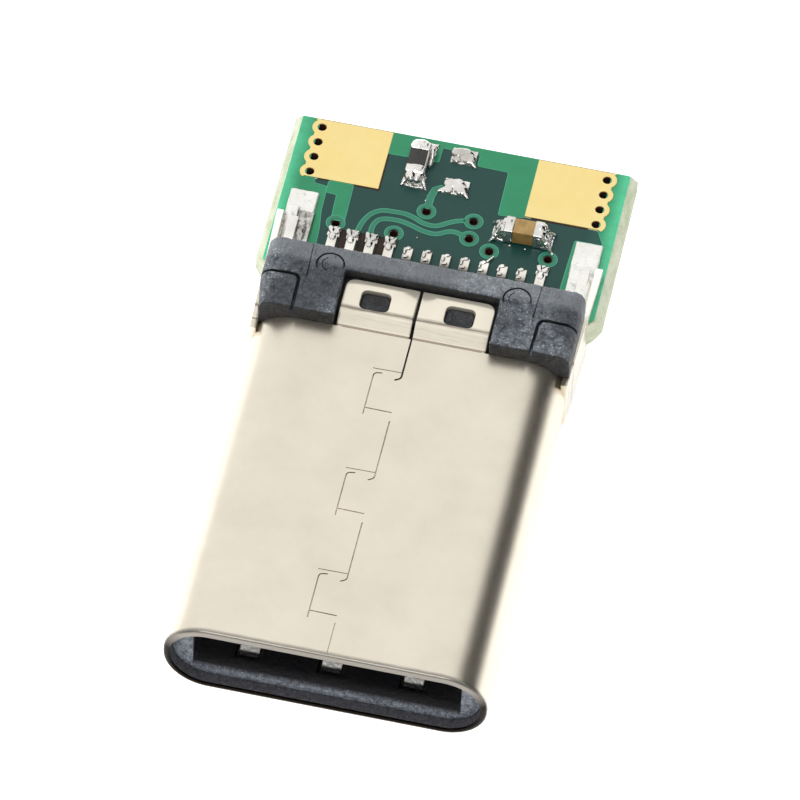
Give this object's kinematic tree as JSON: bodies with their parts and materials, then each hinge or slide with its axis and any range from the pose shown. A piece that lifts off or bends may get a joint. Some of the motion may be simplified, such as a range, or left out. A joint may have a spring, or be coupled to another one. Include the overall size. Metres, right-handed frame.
{
  "type": "usb-c plug on a wiring board",
  "caption": "Cable plug with a folded oval steel shell and moulded collar, soldered astride a small green board with gilded wire pads.",
  "frame": {"origin": "centre of the plug's mouth plane, on the mid-plane of the shell", "axes": "+Y along the plug from the mouth to the board's rear edge, +Z out of the face with the seam and the chips, +X to the right seen from the mouth"},
  "size_m": [0.0092, 0.0172, 0.0032],
  "materials": {
    "shell_steel": "satin nickel plating",
    "latch_steel": "tinned steel strip",
    "spring_steel": "bright spring steel",
    "contact_metal": "gilded contact strip, tinned at the tail",
    "black_plastic": "fine grained moulding",
    "slate_plastic": "coarse grained moulding",
    "board_green": "green solder mask on laminate",
    "gilded_copper": "satin gilding",
    "solder": "bright, slightly wrinkled",
    "resistor_ceramic": "dark glaze with tinned ends",
    "capacitor_ceramic": "brown ceramic with tinned ends"
  },
  "bodies": {
    "root": {"bare_pad_solder": "solder", "capacitor_solder": "solder", "chip_capacitor": "capacitor_ceramic", "chip_resistor": "resistor_ceramic", "circuit_board": "board_green", "collar": "slate_plastic", "inner_housing": "black_plastic", "left_latch": "latch_steel", "left_leg_solder": "solder", "left_wire_pad": "gilded_copper", "left_wire_pad_below": "gilded_copper", "lower_contact_01": "contact_metal", "lower_contact_02": "contact_metal", "lower_contact_03": "contact_metal", "lower_contact_04": "contact_metal", "lower_contact_05": "contact_metal", "lower_contact_06": "contact_metal", "lower_contact_07": "contact_metal", "lower_contact_08": "contact_metal", "lower_contact_09": "contact_metal", "lower_contact_10": "contact_metal", "lower_contact_11": "contact_metal", "lower_contact_12": "contact_metal", "lower_shield_spring": "spring_steel", "lower_tail_solder": "solder", "lower_wafer": "black_plastic", "resistor_solder": "solder", "right_latch": "latch_steel", "right_leg_solder": "solder", "right_wire_pad": "gilded_copper", "right_wire_pad_below": "gilded_copper", "shell": "shell_steel", "upper_contact_01": "contact_metal", "upper_contact_02": "contact_metal", "upper_contact_03": "contact_metal", "upper_contact_04": "contact_metal", "upper_contact_05": "contact_metal", "upper_contact_06": "contact_metal", "upper_contact_07": "contact_metal", "upper_contact_08": "contact_metal", "upper_contact_09": "contact_metal", "upper_contact_10": "contact_metal", "upper_contact_11": "contact_metal", "upper_contact_12": "contact_metal", "upper_shield_spring": "spring_steel", "upper_tail_solder": "solder", "upper_wafer": "black_plastic"}
  },
  "joints": []
}
